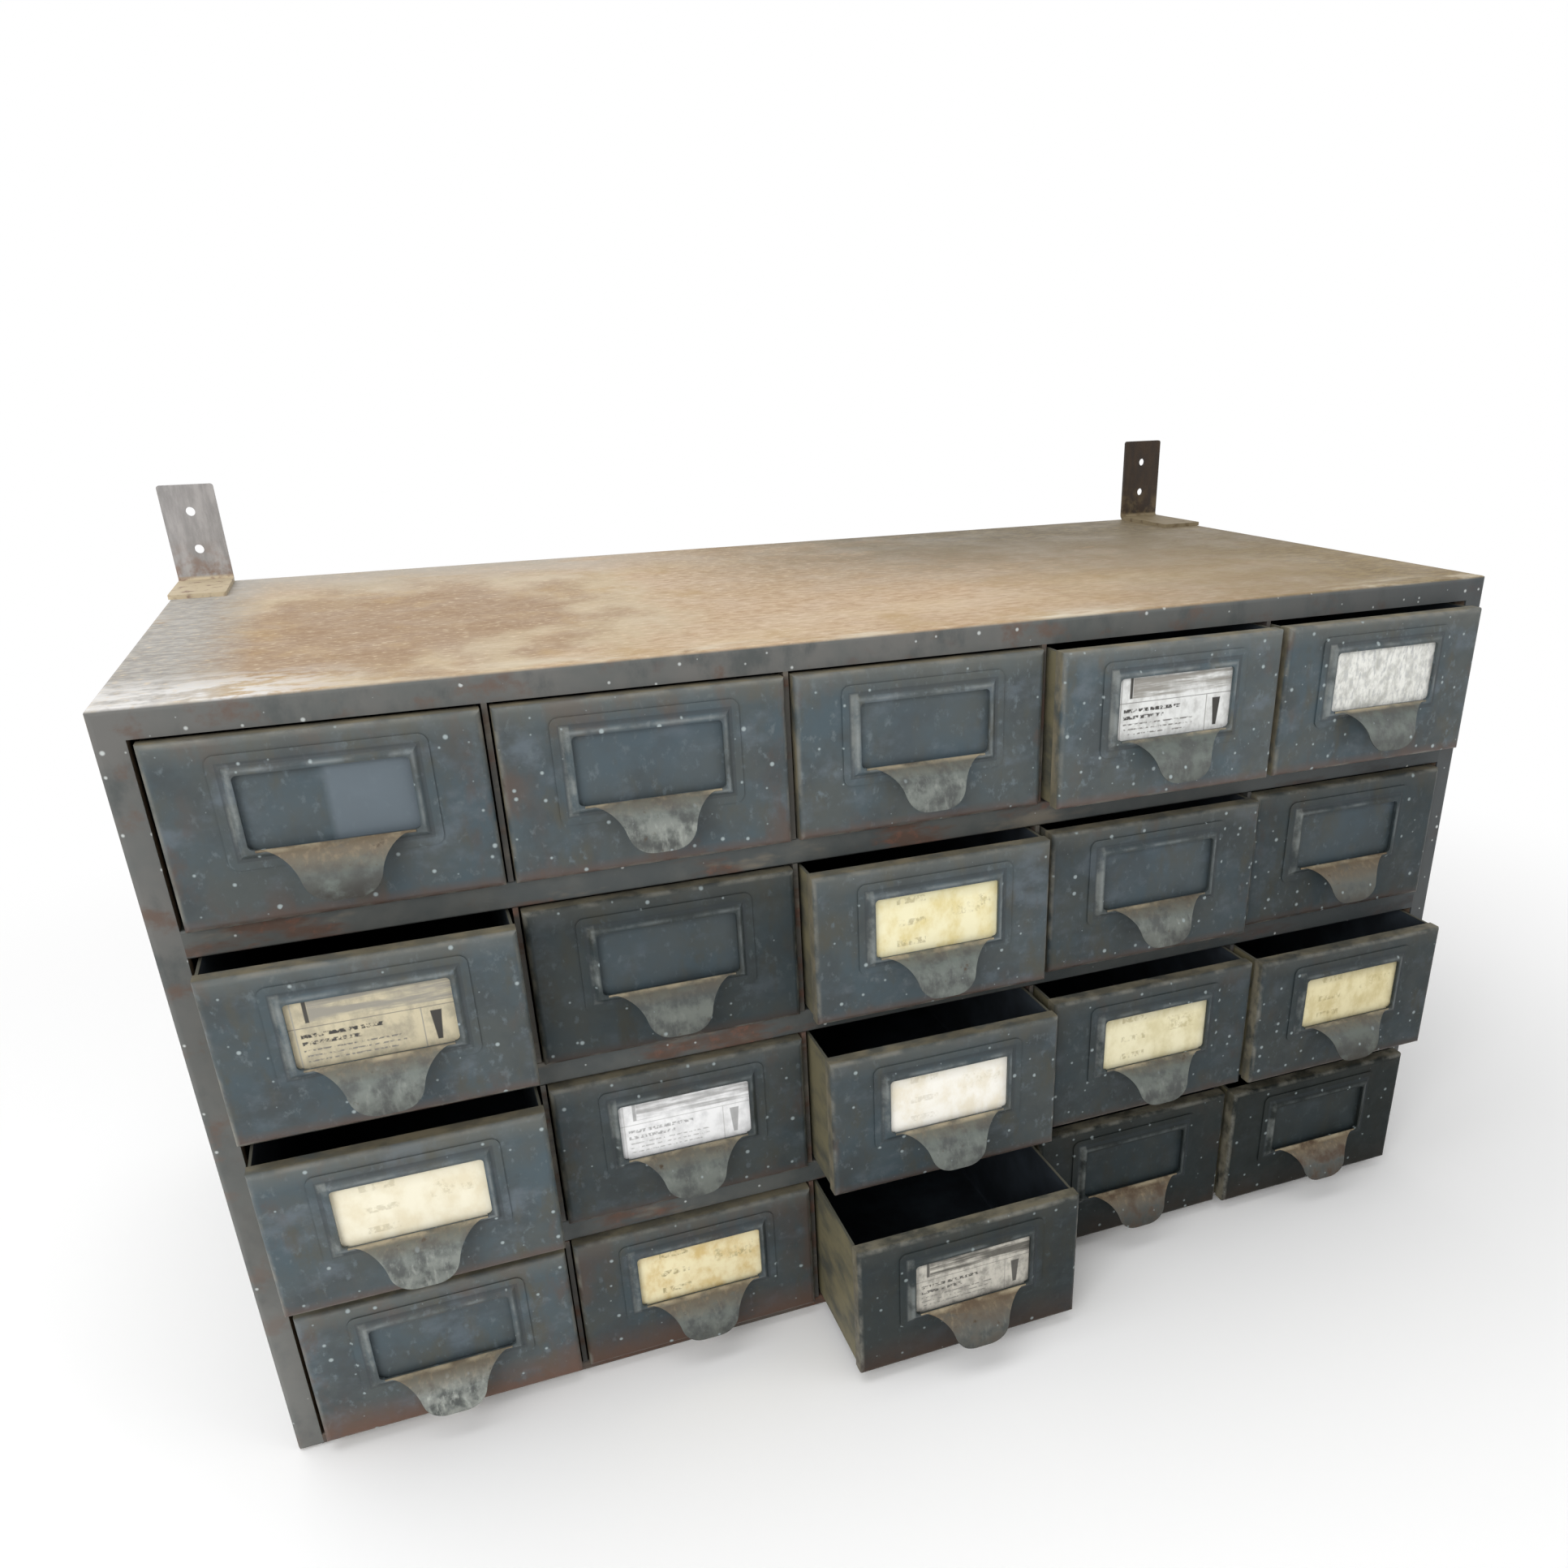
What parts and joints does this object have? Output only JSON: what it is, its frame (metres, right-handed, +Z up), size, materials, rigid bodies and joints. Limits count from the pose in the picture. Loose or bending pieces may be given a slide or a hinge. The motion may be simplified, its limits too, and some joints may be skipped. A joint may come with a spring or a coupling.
{
  "type": "workshop drawer cabinet",
  "caption": "Sheet-steel cabinet of sliding drawers in rows; each pressed front has a raised label frame and a folded-out pull tongue; angle brackets at the top rear corners hold it to a wall",
  "frame": {"origin": "centre of the case's footprint, on the surface it stands on", "axes": "+X to the right seen from the front, +Y from the drawer fronts to the wall, +Z up"},
  "size_m": [0.866, 0.527, 0.551],
  "materials": {
    "case_paint": "worn grey paint, gone ochre on the top",
    "panel_paint": "grey paint",
    "shelf_paint": "worn grey paint with rust along the edge",
    "rusty_shelf_paint": "paint gone to brown rust",
    "tray_paint": "dull grey paint",
    "front_paint": "worn blue-grey paint",
    "pale_bar": "pale grey paint on flat bar",
    "brown_bar": "dark brown paint on flat bar",
    "white_card": "matt card",
    "cream_card": "matt card",
    "yellow_card": "matt card",
    "buff_card": "matt card"
  },
  "bodies": {
    "case": {"case_shell": "case_paint", "back_panel": "panel_paint", "base_shelf": "rusty_shelf_paint", "row_shelf_1": "shelf_paint", "row_shelf_2": "shelf_paint", "row_shelf_3": "shelf_paint", "column_dividers": "rusty_shelf_paint", "wall_bracket_left": "pale_bar", "wall_bracket_right": "brown_bar"},
    "drawer_r1c1": {"drawer_tray_r1c1": "tray_paint", "drawer_front_r1c1": "front_paint"},
    "drawer_r1c2": {"drawer_tray_r1c2": "tray_paint", "drawer_front_r1c2": "front_paint"},
    "drawer_r1c3": {"drawer_tray_r1c3": "tray_paint", "drawer_front_r1c3": "front_paint"},
    "drawer_r1c4": {"drawer_tray_r1c4": "tray_paint", "drawer_front_r1c4": "front_paint", "label_card_r1c4": "white_card"},
    "drawer_r1c5": {"drawer_tray_r1c5": "tray_paint", "drawer_front_r1c5": "front_paint", "label_card_r1c5": "white_card"},
    "drawer_r2c1": {"drawer_tray_r2c1": "tray_paint", "drawer_front_r2c1": "front_paint", "label_card_r2c1": "buff_card"},
    "drawer_r2c2": {"drawer_tray_r2c2": "tray_paint", "drawer_front_r2c2": "front_paint"},
    "drawer_r2c3": {"drawer_tray_r2c3": "tray_paint", "drawer_front_r2c3": "front_paint", "label_card_r2c3": "yellow_card"},
    "drawer_r2c4": {"drawer_tray_r2c4": "tray_paint", "drawer_front_r2c4": "front_paint"},
    "drawer_r2c5": {"drawer_tray_r2c5": "tray_paint", "drawer_front_r2c5": "front_paint"},
    "drawer_r3c1": {"drawer_tray_r3c1": "tray_paint", "drawer_front_r3c1": "front_paint", "label_card_r3c1": "cream_card"},
    "drawer_r3c2": {"drawer_tray_r3c2": "tray_paint", "drawer_front_r3c2": "front_paint", "label_card_r3c2": "white_card"},
    "drawer_r3c3": {"drawer_tray_r3c3": "tray_paint", "drawer_front_r3c3": "front_paint", "label_card_r3c3": "white_card"},
    "drawer_r3c4": {"drawer_tray_r3c4": "tray_paint", "drawer_front_r3c4": "front_paint", "label_card_r3c4": "cream_card"},
    "drawer_r3c5": {"drawer_tray_r3c5": "tray_paint", "drawer_front_r3c5": "front_paint", "label_card_r3c5": "cream_card"},
    "drawer_r4c1": {"drawer_tray_r4c1": "tray_paint", "drawer_front_r4c1": "front_paint"},
    "drawer_r4c2": {"drawer_tray_r4c2": "tray_paint", "drawer_front_r4c2": "front_paint", "label_card_r4c2": "yellow_card"},
    "drawer_r4c3": {"drawer_tray_r4c3": "tray_paint", "drawer_front_r4c3": "front_paint", "label_card_r4c3": "white_card"},
    "drawer_r4c4": {"drawer_tray_r4c4": "tray_paint", "drawer_front_r4c4": "front_paint"},
    "drawer_r4c5": {"drawer_tray_r4c5": "tray_paint", "drawer_front_r4c5": "front_paint"}
  },
  "joints": [
    {"name": "slide_r1c1", "type": "slide", "parent": "case", "child": "drawer_r1c1", "axis": [0, -1, 0], "range_m": [0, 0.3]},
    {"name": "slide_r1c2", "type": "slide", "parent": "case", "child": "drawer_r1c2", "axis": [0, -1, 0], "range_m": [0, 0.3]},
    {"name": "slide_r1c3", "type": "slide", "parent": "case", "child": "drawer_r1c3", "axis": [0, -1, 0], "range_m": [0, 0.3]},
    {"name": "slide_r1c4", "type": "slide", "parent": "case", "child": "drawer_r1c4", "axis": [0, -1, 0], "range_m": [-0.0141, 0.2859]},
    {"name": "slide_r1c5", "type": "slide", "parent": "case", "child": "drawer_r1c5", "axis": [0, -1, 0], "range_m": [-0.0129, 0.2871]},
    {"name": "slide_r2c1", "type": "slide", "parent": "case", "child": "drawer_r2c1", "axis": [0, -1, 0], "range_m": [-0.0219, 0.2781]},
    {"name": "slide_r2c2", "type": "slide", "parent": "case", "child": "drawer_r2c2", "axis": [0, -1, 0], "range_m": [0, 0.3]},
    {"name": "slide_r2c3", "type": "slide", "parent": "case", "child": "drawer_r2c3", "axis": [0, -1, 0], "range_m": [-0.018, 0.282]},
    {"name": "slide_r2c4", "type": "slide", "parent": "case", "child": "drawer_r2c4", "axis": [0, -1, 0], "range_m": [-0.0099, 0.2901]},
    {"name": "slide_r2c5", "type": "slide", "parent": "case", "child": "drawer_r2c5", "axis": [0, -1, 0], "range_m": [0, 0.3]},
    {"name": "slide_r3c1", "type": "slide", "parent": "case", "child": "drawer_r3c1", "axis": [0, -1, 0], "range_m": [-0.0231, 0.2769]},
    {"name": "slide_r3c2", "type": "slide", "parent": "case", "child": "drawer_r3c2", "axis": [0, -1, 0], "range_m": [0, 0.3]},
    {"name": "slide_r3c3", "type": "slide", "parent": "case", "child": "drawer_r3c3", "axis": [0, -1, 0], "range_m": [-0.0381, 0.2619]},
    {"name": "slide_r3c4", "type": "slide", "parent": "case", "child": "drawer_r3c4", "axis": [0, -1, 0], "range_m": [-0.0231, 0.2769]},
    {"name": "slide_r3c5", "type": "slide", "parent": "case", "child": "drawer_r3c5", "axis": [0, -1, 0], "range_m": [-0.0279, 0.2721]},
    {"name": "slide_r4c1", "type": "slide", "parent": "case", "child": "drawer_r4c1", "axis": [0, -1, 0], "range_m": [-0.003, 0.297]},
    {"name": "slide_r4c2", "type": "slide", "parent": "case", "child": "drawer_r4c2", "axis": [0, -1, 0], "range_m": [0, 0.3]},
    {"name": "slide_r4c3", "type": "slide", "parent": "case", "child": "drawer_r4c3", "axis": [0, -1, 0], "range_m": [-0.078, 0.222]},
    {"name": "slide_r4c4", "type": "slide", "parent": "case", "child": "drawer_r4c4", "axis": [0, -1, 0], "range_m": [-0.0099, 0.2901]},
    {"name": "slide_r4c5", "type": "slide", "parent": "case", "child": "drawer_r4c5", "axis": [0, -1, 0], "range_m": [-0.0141, 0.2859]}
  ]
}
